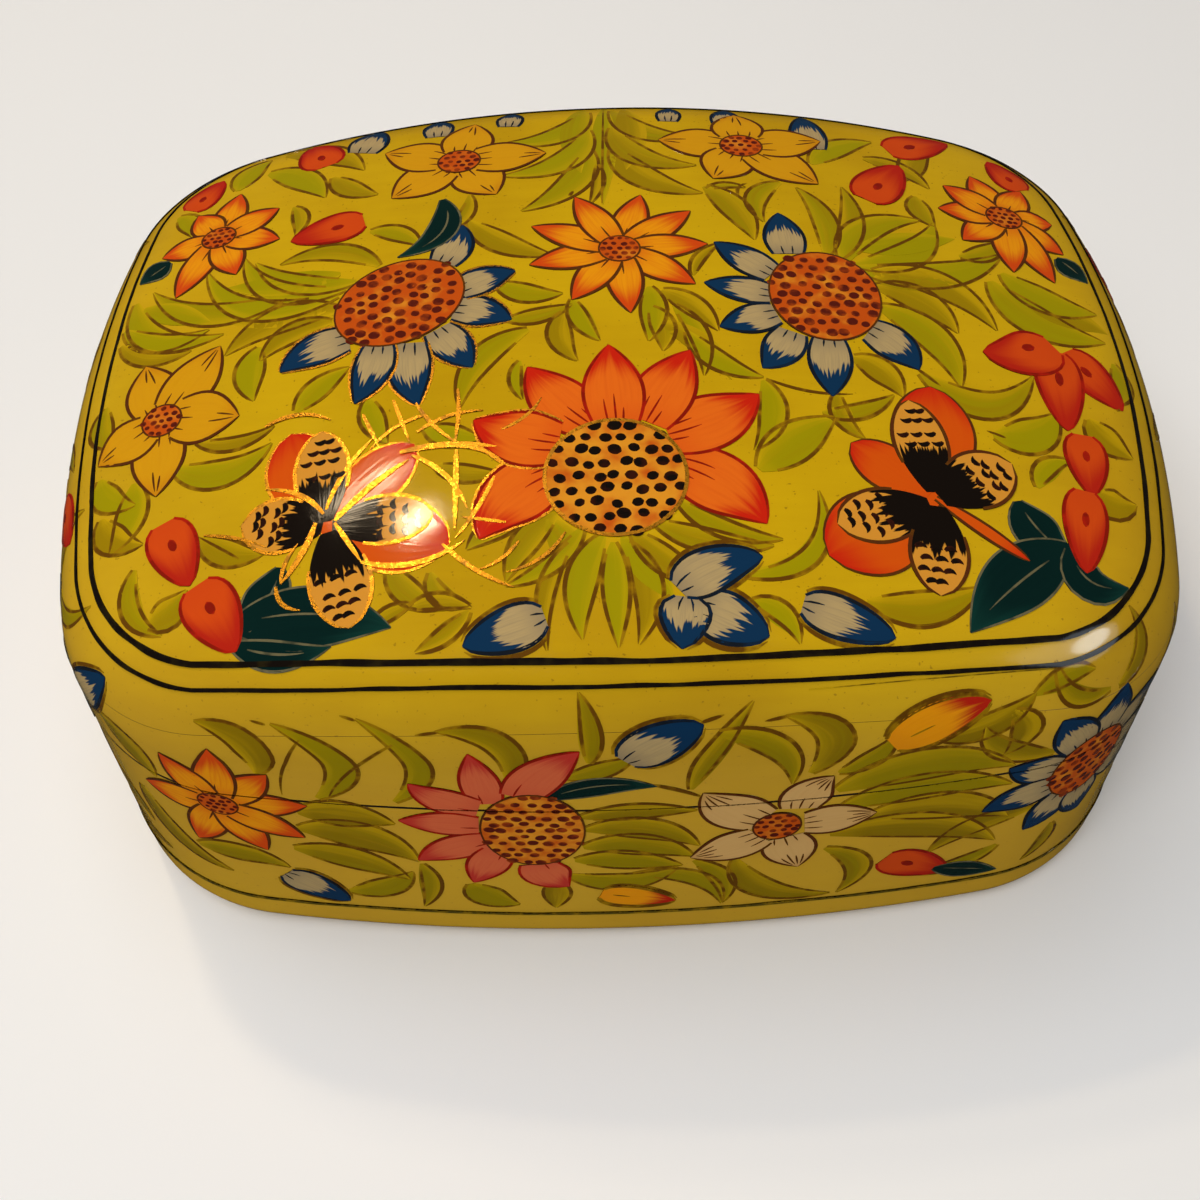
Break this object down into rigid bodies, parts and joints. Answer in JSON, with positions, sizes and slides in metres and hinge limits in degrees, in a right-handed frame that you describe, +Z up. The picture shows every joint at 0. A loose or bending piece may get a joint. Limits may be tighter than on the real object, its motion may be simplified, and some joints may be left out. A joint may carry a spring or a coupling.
{
  "type": "lidded papier mache box",
  "caption": "Small oblong papier mache box with bowed sides, a low domed top and a lift-off lid that fits over an inner collar.",
  "frame": {"origin": "middle of the underside, on the surface that the box stands on", "axes": "+Z up, +X along the box's length, the front face towards -Y"},
  "size_m": [0.102, 0.078, 0.0455],
  "materials": {
    "painted_shell": "gloss",
    "inner_collar": "satin"
  },
  "bodies": {
    "base": {"base_band": "painted_shell", "base_floor": "painted_shell", "collar": "inner_collar"},
    "lid": {"lid_crown": "painted_shell", "lid_band": "painted_shell"}
  },
  "joints": [
    {"name": "lid_lift", "type": "slide", "parent": "base", "child": "lid", "axis": [0, 0, 1], "range_m": [0, 0.05]}
  ]
}
